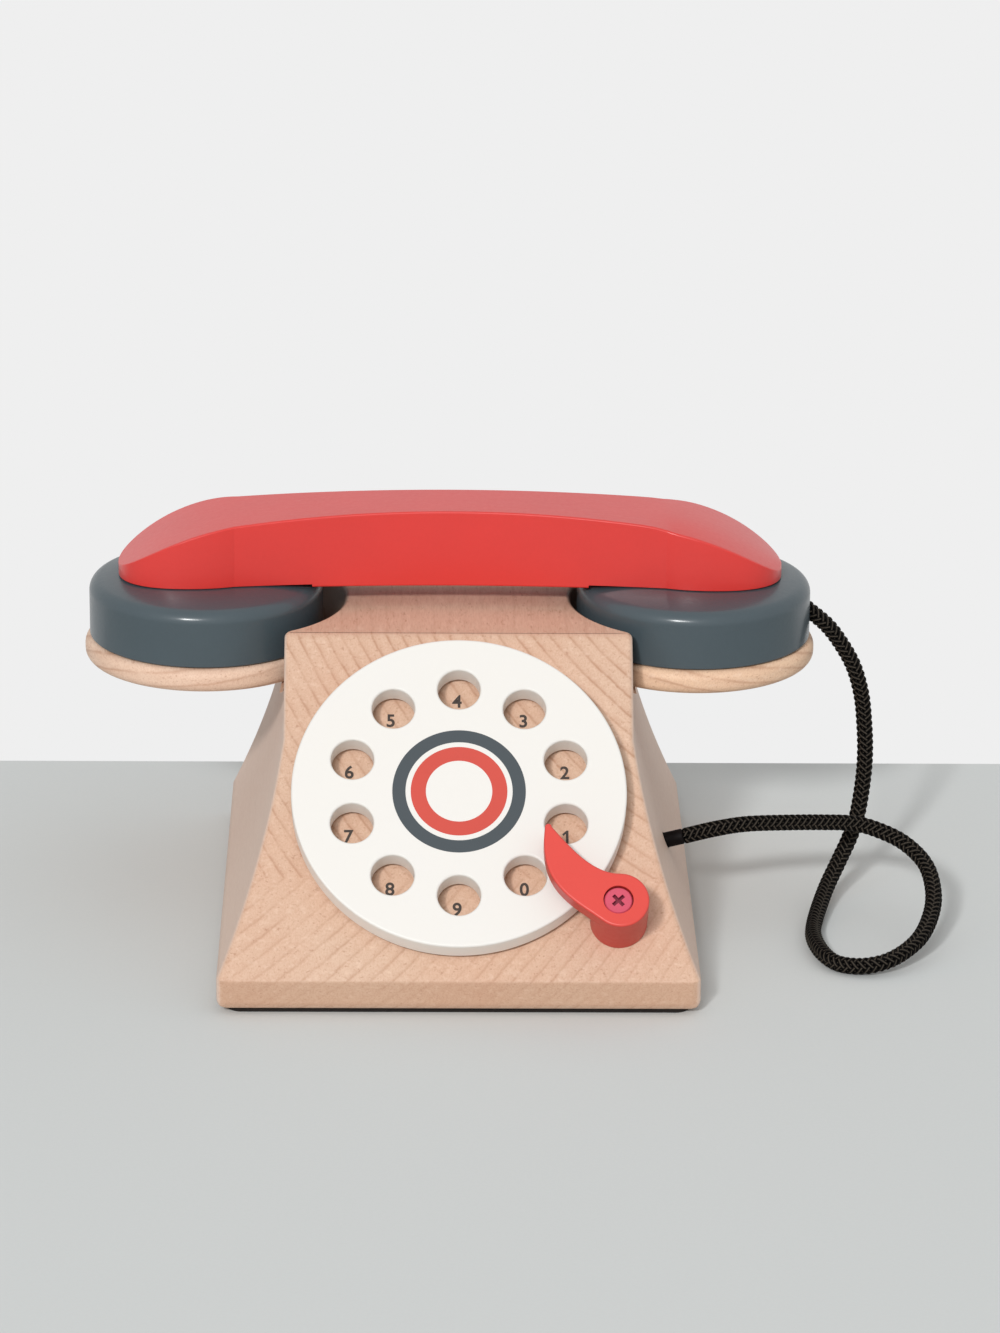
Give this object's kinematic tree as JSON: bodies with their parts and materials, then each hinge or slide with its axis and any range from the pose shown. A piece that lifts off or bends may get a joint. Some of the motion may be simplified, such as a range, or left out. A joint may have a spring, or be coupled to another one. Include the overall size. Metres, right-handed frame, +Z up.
{
  "type": "toy telephone",
  "caption": "Wooden toy rotary telephone: flared beech base with a sloped face, a turning dial with finger holes and a stop, and a corded lift-off handset in a cradle.",
  "frame": {"origin": "middle of the object's footprint on the table, without the cord", "axes": "+X to the mouthpiece end, right as seen from the front; +Y from the dial side to the back; +Z up"},
  "size_m": [0.2543, 0.1672, 0.118],
  "materials": {
    "beech": "oiled",
    "ply": "raw",
    "felt": "matte",
    "steel": "satin",
    "nylon": "satin",
    "white_paint": "satin paint",
    "red_paint": "satin paint",
    "red_stop_paint": "satin paint",
    "red_screw_paint": "satin paint",
    "grey_paint": "satin paint",
    "braid": "braided",
    "sleeve": "satin"
  },
  "bodies": {
    "base": {"base_block": "beech", "bottom_plate": "ply", "plate_screw_1": "steel", "plate_screw_2": "steel", "plate_screw_3": "steel", "plate_screw_4": "steel", "foot_1": "felt", "foot_2": "felt", "foot_3": "felt", "foot_4": "felt", "finger_stop": "red_stop_paint", "stop_screw": "red_screw_paint", "cord_sleeve": "sleeve", "dial_spacer": "nylon"},
    "dial": {"dial_plate": "white_paint", "dial_axle": "steel", "axle_washer": "steel", "axle_screw": "steel"},
    "handset": {"handset_handle": "red_paint", "earpiece_cup": "grey_paint", "earpiece_disc": "beech", "earpiece_screw": "steel", "mouthpiece_cup": "grey_paint", "mouthpiece_disc": "beech", "mouthpiece_screw": "steel", "cord": "braid"}
  },
  "joints": [
    {"name": "dial_turn", "type": "hinge", "parent": "base", "child": "dial", "pos_m": [0.0023, -0.04024, 0.05016], "axis": [0, -0.712, 0.7022], "continuous": true},
    {"name": "handset_lift", "type": "slide", "parent": "base", "child": "handset", "axis": [0, 0, 1], "range_m": [0, 0.1]}
  ]
}
